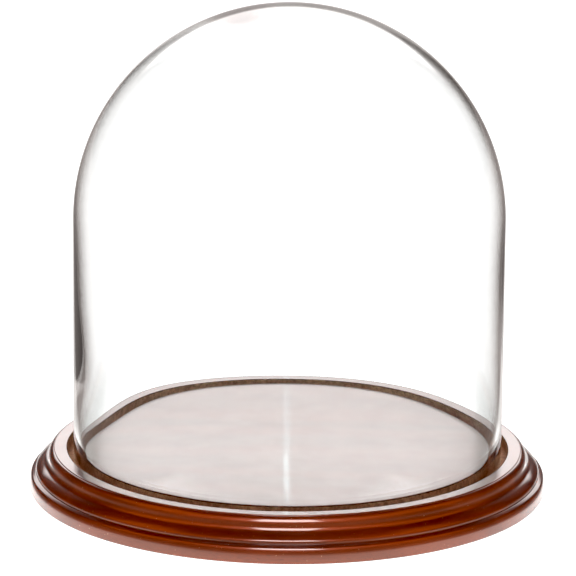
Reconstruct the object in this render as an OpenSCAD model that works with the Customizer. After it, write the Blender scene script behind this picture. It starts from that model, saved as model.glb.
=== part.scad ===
// Glass display dome standing in the groove of a turned round wood base.
// Millimetres, +Z up. The origin is the centre of the underside, on the surface that the felt feet stand on.

/* [Glass dome] */
// Outer diameter of the glass
glass_d = 254; // [200:1:320]
// Wall thickness of the glass
glass_t = 3.5; // [2.5:0.1:4.5]
// Height of the glass from its foot to the outside of its crown
glass_h = 273.5; // [180:0.5:400]
// Radius of the fire-polished rounding on each side of the foot
foot_round = 1; // [0.4:0.1:1.2]

/* [Wood base] */
// Thickness of the turned wood, from the underside to the deck
base_h = 25; // [25:0.5:40]
// Depth of the groove that holds the foot of the glass
groove_depth = 8; // [5:0.5:12]
// Gap between the inside of the glass and the deck
groove_gap_in = 3.5; // [1:0.1:6]
// Gap between the outside of the glass and the rim
groove_gap_out = 4; // [1:0.1:6]
// Width of the flat rim round the groove
rim_w = 7.4; // [5:0.1:14]
// Radius that eases the edges of the deck and the rim
edge_round = 0.4; // [0.2:0.1:0.8]

/* [Edge moulding] */
// Height of the small step under the rim
step_h = 0.5; // [0.2:0.1:1]
// Radius of the convex bead under the step
bead_r = 6; // [5:0.1:7]
// Radius of the hollow cove under the bead
cove_r = 5; // [4:0.1:6]
// Radius of the wide convex sweep below the cove
sweep_r = 12.5; // [10:0.1:14]
// Radius of the crisp edge at the foot of the sweep
arris_r = 0.5; // [0.3:0.1:0.8]
// Height of the vertical fillet under that edge
fillet_h = 0.9; // [0.5:0.1:1.5]
// Depth of the narrow quirk cut in above the bullnose
quirk_d = 0.6; // [0.3:0.1:1]

/* [Felt feet] */
// Diameter of each felt foot
felt_d = 22; // [12:1:30]
// Thickness of each felt foot
felt_t = 1.5; // [1:0.1:3]
// Distance of each foot's centre from the axis
foot_centre_r = 126; // [90:1:130]

/* [Hidden] */
$fn = 128;

// Glass
glass_r = glass_d / 2;
glass_inner_r = glass_r - glass_t;
deck_z = felt_t + base_h;
groove_z = deck_z - groove_depth;
spring_z = groove_z + glass_h - glass_r;

// Deck, groove and rim
deck_r = glass_inner_r - groove_gap_in;
groove_r = glass_r + groove_gap_out;
rim_r = groove_r + rim_w;

// The moulding is a chain of arcs that meet tangent to each other.
// Angles are the slope of the outward normal above the horizontal.
bead_top_a = 62;
bead_foot_a = 8;
sweep_foot_a = 33;
shoulder_start_a = 138;
shoulder_a = 30;
ARC_STEPS = 8;

function polar(r, a) = [r * cos(a), r * sin(a)];
function arc(centre, r, a0, a1) =
    [for (i = [0:ARC_STEPS]) centre + polar(r, a0 + (a1 - a0) * i / ARC_STEPS)];

bead_c = [rim_r, deck_z - step_h] - polar(bead_r, bead_top_a);
cove_c = bead_c + polar(bead_r + cove_r, bead_foot_a);
sweep_c = cove_c - polar(cove_r + sweep_r, bead_top_a);
arris_c = sweep_c + polar(sweep_r - arris_r, sweep_foot_a);
fillet_foot = arris_c + [arris_r, -fillet_h];

// Bullnose: a tight shoulder, a flatter side and a rounded underside
shoulder_r = 2;
shoulder_out = 1.8;
shoulder_drop = 2.8;
side_r = 7.2;
under_r = 4.6;
shoulder_c = fillet_foot + [shoulder_out, -shoulder_drop];
side_c = shoulder_c - polar(side_r - shoulder_r, shoulder_a);
under_c = [side_c[0] + side_r - under_r, felt_t + under_r];

// Half of the base's section, from the axis along the deck and down the outside
base_section = concat(
    [[0, felt_t], [0, deck_z]],
    arc([deck_r - edge_round, deck_z - edge_round], edge_round, 90, 0),
    [[deck_r, groove_z], [groove_r, groove_z]],
    arc([groove_r + edge_round, deck_z - edge_round], edge_round, 180, 90),
    [[rim_r, deck_z]],
    arc(bead_c, bead_r, bead_top_a, bead_foot_a),
    arc(cove_c, cove_r, bead_foot_a + 180, bead_top_a + 180),
    arc(sweep_c, sweep_r, bead_top_a, sweep_foot_a),
    arc(arris_c, arris_r, sweep_foot_a, 0),
    [fillet_foot, fillet_foot - [quirk_d, quirk_d]],
    arc(shoulder_c, shoulder_r, shoulder_start_a, shoulder_a),
    arc(side_c, side_r, shoulder_a, 0),
    arc(under_c, under_r, 0, -90)
);

// Half of a closed dome's section, straight up to the spring line and then a quarter circle
module dome_half(r, foot_z) {
    translate([0, foot_z])
        square([r, spring_z - foot_z]);
    intersection() {
        translate([0, spring_z])
            circle(r);
        translate([0, spring_z])
            square([r, r]);
    }
}

// The glass stands flat on the groove's floor, and its foot is rounded on both sides.
module glass_dome() {
    foot_top = groove_z + foot_round;
    color([0.86, 0.93, 0.92, 0.35])
        rotate_extrude() {
            difference() {
                dome_half(glass_r, foot_top);
                dome_half(glass_inner_r, groove_z);
            }
            translate([glass_inner_r + foot_round, groove_z])
                square([glass_t - 2 * foot_round, 2 * foot_round]);
            for (x = [glass_inner_r + foot_round, glass_r - foot_round])
                translate([x, foot_top])
                    circle(foot_round);
        }
}

module wood_base() {
    color([0.33, 0.09, 0.04])
        rotate_extrude()
            polygon(base_section);
}

// One stick-on foot; four stand evenly round the underside.
module felt_foot(i) {
    color([0.05, 0.12, 0.07])
        rotate([0, 0, 90 * i - 45])
            translate([foot_centre_r, 0, 0])
                cylinder(d = felt_d, h = felt_t);
}

glass_dome();
wood_base();
felt_foot(1);  // felt_foot_1
felt_foot(2);  // felt_foot_2
felt_foot(3);  // felt_foot_3
felt_foot(4);  // felt_foot_4
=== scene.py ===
"""Blown-glass display dome standing in the groove of a turned, lacquered wood base.

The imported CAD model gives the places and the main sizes. The glass, the wood and the felt feet are
rebuilt here as finer meshes with procedural materials, and ride on the bodies of the CAD model.
"""

import math

import bmesh
import bpy
from mathutils import Matrix, Vector, noise


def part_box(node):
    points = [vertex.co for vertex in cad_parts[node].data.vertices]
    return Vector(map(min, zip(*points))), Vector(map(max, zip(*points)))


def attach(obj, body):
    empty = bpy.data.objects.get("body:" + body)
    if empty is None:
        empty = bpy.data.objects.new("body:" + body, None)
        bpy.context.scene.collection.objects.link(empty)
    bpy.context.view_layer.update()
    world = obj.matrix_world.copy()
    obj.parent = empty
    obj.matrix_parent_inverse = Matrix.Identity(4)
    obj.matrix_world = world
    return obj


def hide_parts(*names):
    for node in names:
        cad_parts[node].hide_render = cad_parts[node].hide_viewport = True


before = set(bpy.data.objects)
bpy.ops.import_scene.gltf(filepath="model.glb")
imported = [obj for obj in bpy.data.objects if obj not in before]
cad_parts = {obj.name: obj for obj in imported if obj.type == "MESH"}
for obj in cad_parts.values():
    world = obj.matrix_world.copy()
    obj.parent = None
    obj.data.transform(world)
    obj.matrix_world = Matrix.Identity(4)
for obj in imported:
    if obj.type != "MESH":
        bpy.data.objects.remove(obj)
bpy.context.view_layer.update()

# ---------------------------------------------------------------- sizes, in metres

MM = 0.001
dome_low, dome_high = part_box("glass_dome")
wood_low, wood_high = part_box("wood_base")

GLASS_R = dome_high.x
GLASS_FOOT_Z = dome_low.z
GLASS_SPRING_Z = dome_high.z - GLASS_R
GLASS_WALL = 3.5 * MM

GAP_INSIDE = 3.5 * MM
GAP_OUTSIDE = 4.0 * MM
RIM_WIDTH = 7.4 * MM
DECK_R = GLASS_R - GLASS_WALL - GAP_INSIDE
GROOVE_R = GLASS_R + GAP_OUTSIDE
RIM_R = GROOVE_R + RIM_WIDTH
WOOD_TOP_Z = wood_high.z
WOOD_UNDER_Z = wood_low.z
WOOD_R = wood_high.x

# How many faces go round the wood and the glass, and round a felt disc.
AROUND = 320
FELT_AROUND = 96


# ---------------------------------------------------------------- outlines and meshes

POLE_R = 1e-7


def polar(radius, degrees):
    """The point at that radius and angle, in the plane of a lathe outline."""
    angle = math.radians(degrees)
    return Vector((radius * math.cos(angle), radius * math.sin(angle)))


def arc(centre, radius, start, end, steps):
    """Points along an arc, with both ends."""
    return [
        centre + polar(radius, start + (end - start) * i / steps)
        for i in range(steps + 1)
    ]


def line(start, end, steps):
    """Points along a straight line, without its end."""
    start, end = Vector(start), Vector(end)
    return [start.lerp(end, i / steps) for i in range(steps)]


def ring_mesh(name, outline, segments, move, zones=None):
    """Turns an outline of (radius, height) points about Z, from pole to pole.

    move(point) shifts each vertex, and zones gives each stretch of the outline its material slot.
    """
    body = bmesh.new()
    rings = []
    for radius, height in outline:
        count = 1 if radius < POLE_R else segments
        ring = []
        for i in range(count):
            turn = 2 * math.pi * i / segments
            point = Vector((radius * math.cos(turn), radius * math.sin(turn), height))
            ring.append(body.verts.new(move(point)))
        rings.append(ring)
    for k, (upper, lower) in enumerate(zip(rings, rings[1:])):
        for i in range(segments):
            j = (i + 1) % segments
            corners = [upper[i % len(upper)], lower[i % len(lower)]]
            corners += [lower[j % len(lower)], upper[j % len(upper)]]
            face = body.faces.new(list(dict.fromkeys(corners)))
            face.smooth = True
            face.material_index = zones[k] if zones else 0
    bmesh.ops.recalc_face_normals(body, faces=body.faces)
    mesh = bpy.data.meshes.new(name)
    body.to_mesh(mesh)
    body.free()
    piece = bpy.data.objects.new(name, mesh)
    bpy.context.scene.collection.objects.link(piece)
    return piece


# ---------------------------------------------------------------- node helpers


class Nodes:
    """Adds nodes to one tree. Every call returns the new node's main output socket."""

    def __init__(self, tree):
        self.tree = tree
        tree.nodes.clear()

    def add(self, kind, values, output=0, **settings):
        """A node of that kind. values maps a socket's name or index to a number, colour or socket."""
        made = self.tree.nodes.new("ShaderNode" + kind)
        for name, value in settings.items():
            setattr(made, name, value)
        for key, value in values.items():
            if isinstance(value, bpy.types.NodeSocket):
                self.tree.links.new(value, made.inputs[key])
            else:
                made.inputs[key].default_value = value
        return made.outputs[output] if made.outputs else None

    def math(self, operation, *values):
        return self.add("Math", dict(enumerate(values)), operation=operation)

    def times(self, a, b):
        return self.math("MULTIPLY", a, b)

    def place(self):
        """Where the shaded point is on its object, in metres."""
        return self.add("TexCoord", {}, output="Object")

    def axis(self, vector, index):
        return self.add("SeparateXYZ", {0: vector}, output=index)

    def scale(self, vector, x, y, z):
        return self.add("VectorMath", {0: vector, 1: (x, y, z)}, operation="MULTIPLY")

    def offset(self, vector, point):
        """The vector from that point."""
        return self.add("VectorMath", {0: vector, 1: point}, operation="SUBTRACT")

    def length(self, vector):
        return self.add("VectorMath", {0: vector}, output="Value", operation="LENGTH")

    def mix(self, factor, a, b):
        return self.add("Mix", {0: factor, 6: a, 7: b}, output=2, data_type="RGBA")

    def smooth(self, value, start, end, low=0.0, high=1.0):
        """Goes from low at start to high at end with a soft S curve."""
        values = {0: value, 1: start, 2: end, 3: low, 4: high}
        return self.add("MapRange", values, interpolation_type="SMOOTHSTEP")

    def noise(self, vector, scale, detail, roughness=0.5):
        """Noise from 0 to 1. For a place in metres, scale is about how many lumps fit in a metre."""
        values = {"Vector": vector, "Scale": scale, "Detail": detail, "Roughness": roughness}
        return self.add("TexNoise", values, output="Fac")

    def bump(self, height, distance, strength=1.0):
        return self.add("Bump", {"Height": height, "Distance": distance, "Strength": strength})

    def principled(self, values):
        """Ends a material with one Principled shader."""
        shader = self.add("BsdfPrincipled", values)
        self.add("OutputMaterial", {"Surface": shader})


def rgba(red, green, blue):
    return (red, green, blue, 1.0)


def new_material(name):
    """An empty material and the node helper for it."""
    material = bpy.data.materials.new(name)
    material.use_nodes = True
    return material, Nodes(material.node_tree)


# ---------------------------------------------------------------- wood

STAIN_DARK = rgba(0.088, 0.0105, 0.002)
STAIN_LIGHT = rgba(0.112, 0.0138, 0.003)
STAIN_FIBRE = rgba(0.04, 0.003, 0.0006)
STAIN_PATCH = rgba(0.17, 0.026, 0.006)
STAIN_PORE = rgba(0.018, 0.0015, 0.0006)
DUST_SPECK = rgba(0.5, 0.3, 0.22)
LACQUER_RING = 1.3 * MM

BARE_DARK = rgba(0.74, 0.47, 0.30)
BARE_LIGHT = rgba(0.92, 0.65, 0.45)
BARE_FUZZ = rgba(0.2, 0.09, 0.045)
BARE_PORE = rgba(0.15, 0.06, 0.025)
TOOL_RING = 0.8 * MM


def wood_grain(n, place):
    """Mahogany figure with the grain along X: slow bands, fine fibres and short open pores."""
    bent = n.noise(n.scale(place, 3.0, 14.0, 14.0), 1.0, 2.0)
    ring = n.math("MULTIPLY_ADD", bent, 0.9, n.times(n.axis(place, 1), 11.0))
    ring = n.math("ADD", ring, n.times(n.axis(place, 2), 9.0))
    ring = n.math("SINE", n.times(ring, 14.0))
    bands = n.smooth(ring, -1.0, 1.0)
    fibres = n.noise(n.scale(place, 26.0, 1100.0, 1100.0), 1.0, 5.0, 0.6)
    pores = n.noise(n.scale(place, 160.0, 3400.0, 3400.0), 1.0, 1.0)
    return bands, fibres, n.smooth(pores, 0.66, 0.74)


def lathe_rings(n, place, spacing):
    """Fine concentric rings left by turning and polishing, as a height from 0 to 1."""
    radius = n.length(n.scale(place, 1.0, 1.0, 0.0))
    uneven = n.noise(n.scale(place, 9.0, 9.0, 9.0), 1.0, 1.0)
    rings = n.add("CombineXYZ", {0: n.math("MULTIPLY_ADD", uneven, 0.6 * MM, radius)})
    return n.noise(rings, 1.0 / spacing, 3.0, 0.55)


def lacquered_wood():
    """Deep red-brown stain under clear, buffed lacquer, with a few specks of dust in it."""
    material, n = new_material("lacquered_wood")
    place = n.place()
    bands, fibres, pores = wood_grain(n, place)
    tone = n.mix(bands, STAIN_DARK, STAIN_LIGHT)
    tone = n.mix(n.smooth(fibres, 0.3, 0.7), n.mix(0.25, tone, STAIN_FIBRE), tone)
    patch = n.smooth(n.noise(place, 16.0, 2.0), 0.35, 0.7)
    tone = n.mix(n.times(patch, 0.2), tone, STAIN_PATCH)
    tone = n.mix(n.times(pores, 0.55), tone, STAIN_PORE)
    specks = n.smooth(n.noise(place, 1300.0, 0.0), 0.85, 0.87)
    tone = n.mix(n.times(specks, 0.6), tone, DUST_SPECK)
    grain_height = n.math("SUBTRACT", fibres, n.times(pores, 0.8))
    peel = n.noise(place, 60.0, 1.0)
    polish = n.math("MULTIPLY_ADD", peel, 0.6, lathe_rings(n, place, LACQUER_RING))
    n.principled(
        {
            "Base Color": tone,
            "Metallic": 0.3,
            "Roughness": n.smooth(n.noise(place, 42.0, 4.0, 0.6), 0.3, 0.75, 0.34, 0.40),
            "Specular IOR Level": 0.3,
            "Coat Weight": 1.0,
            "Coat Roughness": 0.02,
            "Coat IOR": 1.5,
            "Normal": n.bump(grain_height, 0.02 * MM, 0.3),
            "Coat Normal": n.bump(polish, 0.0006 * MM),
        }
    )
    return material


def bare_wood():
    """The groove and the underside, turned and stained but not lacquered."""
    material, n = new_material("bare_turned_wood")
    place = n.place()
    bands, fibres, pores = wood_grain(n, place)
    fuzz = n.noise(place, 420.0, 6.0, 0.75)
    tone = n.mix(bands, BARE_DARK, BARE_LIGHT)
    tone = n.mix(n.smooth(fuzz, 0.35, 0.65), n.mix(0.6, tone, BARE_FUZZ), tone)
    tone = n.mix(n.times(pores, 0.7), tone, BARE_PORE)
    tools = lathe_rings(n, place, TOOL_RING)
    height = n.math("ADD", n.times(fibres, 0.5), n.math("ADD", fuzz, tools))
    n.principled(
        {
            "Base Color": tone,
            "Roughness": n.smooth(fuzz, 0.3, 0.7, 0.6, 0.85),
            "Specular IOR Level": 0.3,
            "Normal": n.bump(height, 0.2 * MM, 0.8),
        }
    )
    return material


# The moulding under the rim is two chains of arcs with a small groove, the quirk, between them.
# In each chain the arcs meet tangent to each other or to the straight stretch between them.
# Angles ending in _A are in degrees: the slope of the outward normal above the horizontal.
EDGE_ROUND = 0.4 * MM
STEP_H = 0.55 * MM
LEDGE_R = 1.8 * MM
LEDGE_TOP_A = 88
BEAD_R = 5.6 * MM
BEAD_TOP_A = 62
BEAD_FOOT_A = 8
COVE_R = 5.0 * MM
SWEEP_R = 17.9 * MM
SWEEP_FOOT_A = 46
ARRIS_R = 2.2 * MM
FILLET_H = 0.5 * MM
QUIRK_D = 0.4 * MM
SHOULDER_R = 2.4 * MM
SHOULDER_RUN = 1.9 * MM
SHOULDER_SLOPE_A = 64
SHOULDER_A = 30
SIDE_R = 7.2 * MM
SIDE_LIFT = 5.52 * MM
UNDER_R = 2.6 * MM
LACQUER, BARE = 0, 1

# How far the wood has moved since it was turned, as shares of its size.
SHRINK_ACROSS = 0.0006
SHRINK_MOULDING = 0.0003
SETTLE_MARGIN = 1.0 * MM
SETTLE_WAVES = Vector((22, 22, 60))


def wood_outline():
    """The base's outline from the middle of the deck to the middle of the underside, with slots."""
    top, floor = WOOD_TOP_Z, GLASS_FOOT_Z
    rim = Vector((RIM_R, top))
    ledge = rim - Vector((0, STEP_H)) - polar(LEDGE_R, LEDGE_TOP_A)
    bead = ledge - polar(BEAD_R - LEDGE_R, BEAD_TOP_A)
    cove = bead + polar(BEAD_R + COVE_R, BEAD_FOOT_A)
    sweep = cove - polar(COVE_R + SWEEP_R, BEAD_TOP_A)
    arris = sweep + polar(SWEEP_R - ARRIS_R, SWEEP_FOOT_A)
    fillet_foot = arris + Vector((ARRIS_R, -FILLET_H))
    quirk = fillet_foot - Vector((QUIRK_D, QUIRK_D))
    side = Vector((WOOD_R - SIDE_R, WOOD_UNDER_Z + SIDE_LIFT))
    shoulder = side + polar(SIDE_R - SHOULDER_R, SHOULDER_A)
    slope = shoulder + polar(SHOULDER_R, SHOULDER_SLOPE_A)
    slope_top = slope + polar(SHOULDER_RUN, SHOULDER_SLOPE_A + 90)
    under = Vector((WOOD_R - UNDER_R, WOOD_UNDER_Z + UNDER_R))
    deck_edge = Vector((DECK_R - EDGE_ROUND, top - EDGE_ROUND))
    rim_edge = Vector((GROOVE_R + EDGE_ROUND, top - EDGE_ROUND))
    outer_edge = Vector((RIM_R - EDGE_ROUND / 2, top - EDGE_ROUND / 2))
    wall_top = deck_edge.y - EDGE_ROUND
    stretches = [
        (line((0, top), (deck_edge.x, top), 30), LACQUER),
        (arc(deck_edge, EDGE_ROUND, 90, 0, 5), LACQUER),
        (line((DECK_R, wall_top), (DECK_R, floor), 6), BARE),
        (line((DECK_R, floor), (GROOVE_R, floor), 8), BARE),
        (line((GROOVE_R, floor), (GROOVE_R, wall_top), 6), BARE),
        (arc(rim_edge, EDGE_ROUND, 180, 90, 5), LACQUER),
        (line((rim_edge.x + EDGE_ROUND, top), (outer_edge.x, top), 6), LACQUER),
        (arc(outer_edge, EDGE_ROUND / 2, 90, 0, 3), LACQUER),
        (arc(ledge, LEDGE_R, LEDGE_TOP_A, BEAD_TOP_A, 4), LACQUER),
        (arc(bead, BEAD_R, BEAD_TOP_A, BEAD_FOOT_A, 16)[1:], LACQUER),
        (arc(cove, COVE_R, BEAD_FOOT_A + 180, BEAD_TOP_A + 180, 14)[1:], LACQUER),
        (arc(sweep, SWEEP_R, BEAD_TOP_A, SWEEP_FOOT_A, 14)[1:], LACQUER),
        (arc(arris, ARRIS_R, SWEEP_FOOT_A, 0, 9)[1:], LACQUER),
        ([fillet_foot, quirk], LACQUER),
        (line(slope_top, slope, 3), LACQUER),
        (arc(shoulder, SHOULDER_R, SHOULDER_SLOPE_A, SHOULDER_A, 6), LACQUER),
        (arc(side, SIDE_R, SHOULDER_A, 0, 8)[1:], LACQUER),
        (arc(under, UNDER_R, 0, -90, 12)[1:], LACQUER),
        (line((under.x - 0.5 * MM, WOOD_UNDER_Z), (0, WOOD_UNDER_Z), 20), BARE),
        ([Vector((0, WOOD_UNDER_Z))], BARE),
    ]
    points, slots = [], []
    for stretch, slot in stretches:
        points += stretch
        slots += [slot] * len(stretch)
    return points, slots


def settle_wood(point):
    """Turned wood is never quite true: it has moved a little across the grain since it was cut."""
    radius = math.hypot(point.x, point.y)
    edge = min(radius / WOOD_R, 1.0)
    slow = noise.noise(point * SETTLE_WAVES)
    shrink = 1.0 - SHRINK_ACROSS * edge * abs(point.y) / WOOD_R
    moved = Vector((point.x, point.y * shrink, point.z))
    if WOOD_UNDER_Z + SETTLE_MARGIN < point.z < WOOD_TOP_Z - SETTLE_MARGIN and radius > RIM_R:
        moved *= 1.0 - SHRINK_MOULDING * (1 + slow)
        moved.z = point.z
    return moved


def make_wood_base():
    outline, slots = wood_outline()
    piece = ring_mesh("turned_base", outline, AROUND, move=settle_wood, zones=slots)
    piece.data.materials.append(lacquered_wood())
    piece.data.materials.append(bare_wood())
    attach(piece, "base")
    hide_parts("wood_base")


# ---------------------------------------------------------------- glass

FOOT_ROUND = 1.0 * MM
# The bubble was blown out thinnest at one shoulder.
THIN_SPOT = Vector((-0.68 * GLASS_R, 0.0, GLASS_SPRING_Z + 0.74 * GLASS_R))
THIN_SPOT_REACH = 75 * MM

# Changes of the wall, in millimetres. Places are shares of the height of the straight side.
BODY_THIN = 0.7
CROWN_THIN = 1.4
SPOT_THIN = 0.6
BELLY_THICK = 1.25
BELLY_LEAN = 0.95
SLOW_CHANGE = 0.15
FOOT_REACH = 0.12
BELLY_AT = 0.34
BELLY_REACH = 0.26
CROWN_AT = 0.85
CROWN_BLEND = 0.1
BLOWING_WAVES = Vector((9, 9, 7))

# A dark patch of painted shade near the crown, with how far it reaches along each axis.
CROWN_SHADE_SPOT = (-0.23 * GLASS_R, 0.28 * GLASS_R, GLASS_SPRING_Z + 0.93 * GLASS_R)
CROWN_SHADE_REACH = (24 * MM, 60 * MM, 25 * MM)

GLASS_CLEAR = rgba(0.985, 0.992, 0.99)
# The edge greys are painted shade on the glass where it is seen edge on: lighter low down, darker at
# the crown.
EDGE_SHADE_LOW = rgba(0.62, 0.605, 0.60)
EDGE_SHADE_HIGH = rgba(0.24, 0.225, 0.215)
# Painted shade on the sides of the glass near the foot: lighter, greener and over a wider band.
FOOT_SIDE_SHADE = rgba(0.70, 0.73, 0.715)
FOOT_EDGE = rgba(0.30, 0.35, 0.325)
# The colour of the painted dark patch near the crown.
CROWN_SHADE_TINT = rgba(0.40, 0.355, 0.355)


def clear_glass():
    """Clear soda glass with the slow waves of blowing; painted shade greys it where it is seen edge on
    and in a patch near the crown.
    """
    material, n = new_material("clear_glass")
    place = n.place()
    height = n.math("SUBTRACT", n.axis(place, 2), GLASS_FOOT_Z)
    near_foot = n.smooth(height, 20 * MM, 50 * MM, 1.0, 0.0)
    # Painted shade: grey where the glass is seen edge on, faded at the thin shoulder and near the foot.
    facing = n.add("LayerWeight", {"Blend": 0.5}, output="Facing")
    edge = n.smooth(facing, 0.70, 0.86)
    away = n.length(n.offset(place, THIN_SPOT))
    edge = n.times(edge, n.smooth(away, 40 * MM, 100 * MM, 0.1, 1.0))
    edge = n.times(edge, n.math("MULTIPLY_ADD", near_foot, -0.85, 1.0))
    # The painted edge shade is darker towards the crown.
    edge_shade_tone = n.mix(n.smooth(height, 150 * MM, 230 * MM), EDGE_SHADE_LOW, EDGE_SHADE_HIGH)
    tint = n.mix(edge, GLASS_CLEAR, edge_shade_tone)
    # Near the foot the painted edge shade is lighter, greener and wider.
    tint = n.mix(n.times(near_foot, n.smooth(facing, 0.5, 0.62)), tint, FOOT_SIDE_SHADE)
    tint = n.mix(n.smooth(height, 0.6 * MM, 2.4 * MM, 1.0, 0.0), tint, FOOT_EDGE)
    # Painted shade: a dark patch near the crown.
    crown_shade = n.offset(place, CROWN_SHADE_SPOT)
    crown_shade = n.length(n.scale(crown_shade, *(1 / reach for reach in CROWN_SHADE_REACH)))
    tint = n.mix(n.smooth(crown_shade, 0.6, 1.1, 1.0, 0.0), tint, CROWN_SHADE_TINT)
    waves = n.noise(place, 18.0, 1.0)
    streaks = n.noise(n.scale(place, 30.0, 30.0, 5.0), 1.0, 1.0)
    ripple = n.math("MULTIPLY_ADD", streaks, 0.35, waves)
    n.principled(
        {
            "Base Color": tint,
            "Roughness": 0.0,
            "IOR": 1.5,
            "Transmission Weight": 1.0,
            "Normal": n.bump(ripple, 0.1 * MM, 0.25),
        }
    )
    return material


def glass_outline():
    """Outer surface from crown to foot, round the foot, then the inner surface back to its crown."""
    r, z = GLASS_R, GLASS_SPRING_Z
    inner = r - GLASS_WALL
    spring, foot_top = Vector((0, z)), GLASS_FOOT_Z + FOOT_ROUND
    out_foot = Vector((r - FOOT_ROUND, foot_top))
    in_foot = Vector((inner + FOOT_ROUND, foot_top))
    outer = arc(spring, r, 90, 0, 72)
    outer += line((r, z), (r, foot_top), 44)[1:]
    outer += arc(out_foot, FOOT_ROUND, 0, -90, 6)
    inside = arc(in_foot, FOOT_ROUND, -90, -180, 6)
    inside += line((inner, foot_top), (inner, z), 44)[1:]
    inside += arc(spring, inner, 0, 90, 72)
    return outer + inside


def hump(distance, reach):
    """A smooth bell: 1 at no distance, nearly 0 beyond twice the reach."""
    return math.exp(-((distance / reach) ** 2))


def blow_glass(point):
    """Moves the inner surface, so that the wall is as uneven as blown glass."""
    above = Vector((point.x, point.y, max(point.z - GLASS_SPRING_Z, 0.0)))
    depth = GLASS_R - above.length
    share = min(max(depth / GLASS_WALL, 0.0), 1.0)
    out = above.normalized()
    slow = noise.noise(point * BLOWING_WAVES)
    height = (point.z - GLASS_FOOT_Z) / (GLASS_SPRING_Z - GLASS_FOOT_Z)
    belly = hump(height - BELLY_AT, BELLY_REACH)
    foot = hump(max(height, 0.0), FOOT_REACH)
    crown = 1.0 / (1.0 + math.exp((CROWN_AT - height) / CROWN_BLEND))
    blown_out = hump((point - THIN_SPOT).length, THIN_SPOT_REACH)
    thick = -BODY_THIN * (1.0 - foot) - CROWN_THIN * crown - SPOT_THIN * blown_out
    thick += belly * (BELLY_THICK - BELLY_LEAN * out.x**3) + SLOW_CHANGE * slow
    return point - out * (share * thick * MM)


def make_glass_dome():
    piece = ring_mesh("blown_glass_dome", glass_outline(), AROUND, move=blow_glass)
    piece.data.materials.append(clear_glass())
    piece.visible_shadow = False
    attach(piece, "dome")
    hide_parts("glass_dome")


# ---------------------------------------------------------------- felt feet

FELT_DARK = rgba(0.008, 0.028, 0.013)
FELT_LIGHT = rgba(0.03, 0.085, 0.042)
FELT_CLUMP = rgba(0.012, 0.04, 0.02)

# The rounding of the cut edge as a share of half the thickness, then how much the fibres draw the
# outline in and dish the faces, as shares of the radius and of the thickness.
FELT_SOFT = 0.7
FELT_DRAWN_IN = 0.012
FELT_DISHED = 0.04
FELT_LUMPS = 1400


def green_felt():
    """Pressed wool felt, with loose fibres on its surface."""
    material, n = new_material("green_felt")
    place = n.place()
    fibres = n.noise(place, 2600.0, 6.0, 0.7)
    clumps = n.noise(place, 420.0, 3.0)
    tone = n.mix(n.smooth(fibres, 0.3, 0.7), FELT_DARK, FELT_LIGHT)
    tone = n.mix(n.times(clumps, 0.4), tone, FELT_CLUMP)
    n.principled(
        {
            "Base Color": tone,
            "Roughness": 0.95,
            "Specular IOR Level": 0.1,
            "Sheen Weight": 0.35,
            "Sheen Roughness": 0.5,
            "Normal": n.bump(n.math("ADD", fibres, clumps), 0.3 * MM, 0.9),
        }
    )
    return material


def make_felt_foot(node, material):
    """A punched felt disc: soft cut edge, slightly dished faces and an uneven outline."""
    low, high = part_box(node)
    centre, radius = (low + high) / 2, (high.x - low.x) / 2
    half = (high.z - low.z) / 2
    soft = half * FELT_SOFT
    outline = line((0, half), (radius - soft, half), 10)
    outline += arc(Vector((radius - soft, half - soft)), soft, 90, 0, 5)
    outline += arc(Vector((radius - soft, soft - half)), soft, 0, -90, 5)
    outline += line((radius - soft, -half), (0, -half), 10)[1:]
    outline += [Vector((0, -half))]

    def fluff(point):
        rough = noise.noise(Vector((point.x + centre.x, point.y + centre.y, point.z)) * FELT_LUMPS)
        reach = math.hypot(point.x, point.y) / radius
        squeeze = 1.0 - FELT_DRAWN_IN * reach**8 * (1 + rough)
        lift = 1.0 - FELT_DISHED * (1 + rough) * (1 - reach**2)
        return Vector((point.x * squeeze, point.y * squeeze, point.z * lift))

    piece = ring_mesh(node.replace("felt_foot", "felt_disc"), outline, FELT_AROUND, move=fluff)
    piece.data.transform(Matrix.Translation(centre))
    piece.data.materials.append(material)
    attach(piece, "base")
    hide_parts(node)


# ---------------------------------------------------------------- stage, light and camera

# What the eye sees straight on, or through the glass, is overexposed white.
WHITE_OUT = rgba(1.6, 1.6, 1.6)

# The paper sheet on the floor, which lies along Y. A pair is where a soft edge starts and ends.
FLOOR_HALF = 9.0
SHEET_SIDE = (170 * MM, 193 * MM)
SHEET_FLARE = 0.15
SHEET_FRONT = (-215 * MM, -145 * MM)
SHEET_BACK = (60 * MM, 140 * MM)
SHEET_BACK_SHARE = 0.35
BASE_SHADE = (147 * MM, 161 * MM)
BOUNCE_SHADE = (140 * MM, 156 * MM)

SHEET_SHADED = rgba(0.6, 0.55, 0.53)
SHEET_LIT = rgba(1.95, 1.9, 1.87)
FLOOR_DIM = rgba(0.34, 0.30, 0.285)
BOUNCE_SHADED = rgba(0.6, 0.7, 0.6)
BOUNCE_LIT = rgba(6.9, 9.0, 7.0)

ROOM_LOW = rgba(0.045, 0.032, 0.028)
ROOM_HIGH = rgba(0.02, 0.012, 0.01)
WARM_PANELS = rgba(1.9, 0.42, 0.08)
BACKDROP = rgba(0.62, 0.58, 0.56)
TENT_LOW = rgba(2.9, 2.78, 2.74)
TENT_HIGH = rgba(0.42, 0.38, 0.36)
KEY_LIGHT = rgba(15.0, 14.4, 14.2)
STREAK = rgba(3.15, 3.25, 3.25)
STAR = rgba(4.1, 4.4, 4.4)
SOFT_LOW = rgba(0.20, 0.14, 0.13)
SOFT_HIGH = rgba(1.1, 0.85, 0.82)
INSIDE_GLASS = rgba(0.40, 0.38, 0.37)
INSIDE_SHARE = 0.75

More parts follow.
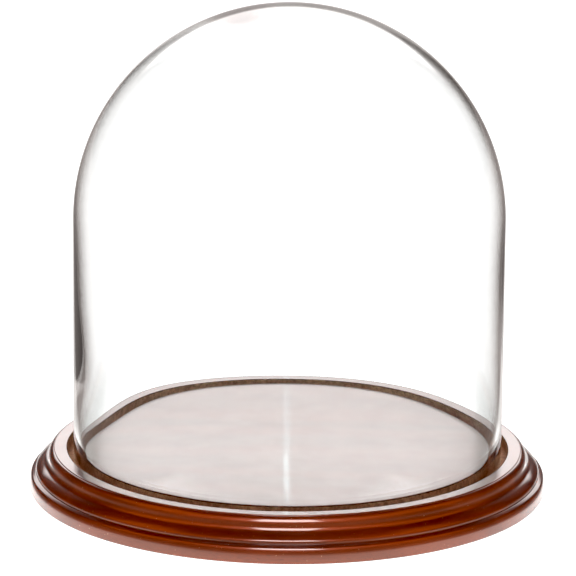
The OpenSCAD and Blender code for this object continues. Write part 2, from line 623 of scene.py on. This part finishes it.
CAMERA_PLACE = Vector((-0.5 * MM, -2.5, 0.7746))
CAMERA_PITCH = 0.255
CAMERA_ROLL = 0.009
CAMERA_LENS = 274.1
CAMERA_SENSOR = 36.0
BLACK_LEVEL = 0.012


def light_path(n, measure):
    return n.add("LightPath", {}, output=measure)


def by_ray(n, seen, scattered, reflected):
    """The light for a ray that was only passed on, was scattered, or was reflected on its way."""
    glossy = n.math("GREATER_THAN", light_path(n, "Glossy Depth"), 0.5)
    diffuse = n.math("GREATER_THAN", light_path(n, "Diffuse Depth"), 0.5)
    return n.mix(glossy, n.mix(diffuse, seen, scattered), reflected)


def make_floor():
    """A pale floor that runs on past every view.

    In reflections it is a bright paper sheet on a dim floor, shaded close to the base.
    """
    mesh = bpy.data.meshes.new("floor")
    size = FLOOR_HALF
    corners = [(-size, -size, 0), (size, -size, 0), (size, size, 0), (-size, size, 0)]
    mesh.from_pydata(corners, [], [(0, 1, 2, 3)])
    floor = bpy.data.objects.new("floor", mesh)
    bpy.context.scene.collection.objects.link(floor)
    material, n = new_material("pale_floor")
    place = n.place()
    across = n.math("ABSOLUTE", n.axis(place, 0))
    along = n.axis(place, 1)
    outward = n.length(place)
    spread = n.times(n.math("MAXIMUM", along, 0.0), SHEET_FLARE)
    sheet = n.smooth(n.math("SUBTRACT", across, spread), *SHEET_SIDE, 1.0, 0.0)
    sheet = n.times(sheet, n.smooth(along, *SHEET_BACK, 1.0, SHEET_BACK_SHARE))
    sheet = n.times(sheet, n.smooth(along, *SHEET_FRONT))
    lit = n.mix(n.smooth(outward, *BASE_SHADE), SHEET_SHADED, SHEET_LIT)
    mirrored = n.mix(sheet, FLOOR_DIM, lit)
    bounce = n.mix(n.smooth(outward, *BOUNCE_SHADE), BOUNCE_SHADED, BOUNCE_LIT)
    shine = n.add("Emission", {"Color": by_ray(n, WHITE_OUT, bounce, mirrored)})
    n.add("OutputMaterial", {"Surface": shine})
    material.cycles.emission_sampling = "NONE"
    mesh.materials.append(material)


def softbox(n, azimuth, elevation, half_width, low, high, soft):
    """A soft-edged rectangle of sky, 1 inside and 0 outside.

    azimuth and elevation are sockets in radians. The sides of the rectangle are in degrees.
    """
    half_width, low, high, soft = (math.radians(a) for a in (half_width, low, high, soft))
    across = n.smooth(n.math("ABSOLUTE", azimuth), half_width - soft, half_width + soft, 1.0, 0.0)
    bottom = n.smooth(elevation, low - soft, low + soft)
    top = n.smooth(elevation, high - soft, high + soft, 1.0, 0.0)
    return n.times(across, n.times(bottom, top))


def make_world():
    """The room: dark with softboxes in reflections, soft and brightest overhead for scattered light,
    and plain white where it is seen.
    """
    world = bpy.data.worlds.new("studio")
    bpy.context.scene.world = world
    world.use_nodes = True
    n = Nodes(world.node_tree)
    direction = n.add("TexCoord", {}, output="Generated")
    x, y, z = (n.axis(direction, index) for index in range(3))
    elevation = n.math("ARCSINE", z)
    from_back = n.math("ARCTAN2", x, y)
    from_front = n.math("ARCTAN2", x, n.times(y, -1.0))
    overhead = n.smooth(z, 0.0, 0.9)
    tent = n.mix(n.smooth(elevation, 0.42, 1.0), TENT_LOW, TENT_HIGH)
    lights = [
        (from_front, 110, 34, 62, 6, WARM_PANELS),
        (from_back, 12, -8, 14, 3, BACKDROP),
        (from_back, 26, 13.5, 66, 3, tent),
        (from_front, 18, 38, 64, 4, KEY_LIGHT),
        (from_back, 0.07, 15.6, 17.46, 0.05, STREAK),
        (from_back, 0.045, 16.0, 16.42, 0.045, STAR),
    ]
    room = n.mix(overhead, ROOM_LOW, ROOM_HIGH)
    for azimuth, half_width, low, high, soft, colour in lights:
        room = n.mix(softbox(n, azimuth, elevation, half_width, low, high, soft), room, colour)
    # A ray that is reflected inside the wall of the glass crosses its surface one to three times.
    passed = light_path(n, "Transmission Depth")
    inside = n.times(n.math("GREATER_THAN", passed, 0.5), n.math("LESS_THAN", passed, 3.5))
    room = n.mix(n.times(inside, INSIDE_SHARE), room, INSIDE_GLASS)
    soft_light = n.mix(overhead, SOFT_LOW, SOFT_HIGH)
    sky = n.add("Background", {"Color": by_ray(n, WHITE_OUT, soft_light, room)})
    n.add("OutputWorld", {"Surface": sky})
    world.cycles.sampling_method = "NONE"


def make_camera():
    camera = bpy.data.objects.new("camera", bpy.data.cameras.new("camera"))
    bpy.context.scene.collection.objects.link(camera)
    camera.data.lens = CAMERA_LENS
    camera.data.sensor_width = CAMERA_SENSOR
    tilt = Matrix.Rotation(math.pi / 2 - CAMERA_PITCH, 4, "X")
    camera.matrix_world = Matrix.Translation(CAMERA_PLACE) @ tilt @ Matrix.Rotation(CAMERA_ROLL, 4, "Z")
    bpy.context.scene.camera = camera


make_camera()
make_floor()
make_world()
make_wood_base()
make_glass_dome()
felt = green_felt()
for name in sorted(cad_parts):
    if name.startswith("felt_foot"):
        make_felt_foot(name, felt)

scene = bpy.context.scene
scene.view_settings.view_transform = "Standard"
scene.view_settings.use_curve_mapping = True
scene.view_settings.curve_mapping.black_level = (BLACK_LEVEL, BLACK_LEVEL, BLACK_LEVEL)
scene.cycles.max_bounces = 16
scene.cycles.transmission_bounces = 14
scene.cycles.glossy_bounces = 8
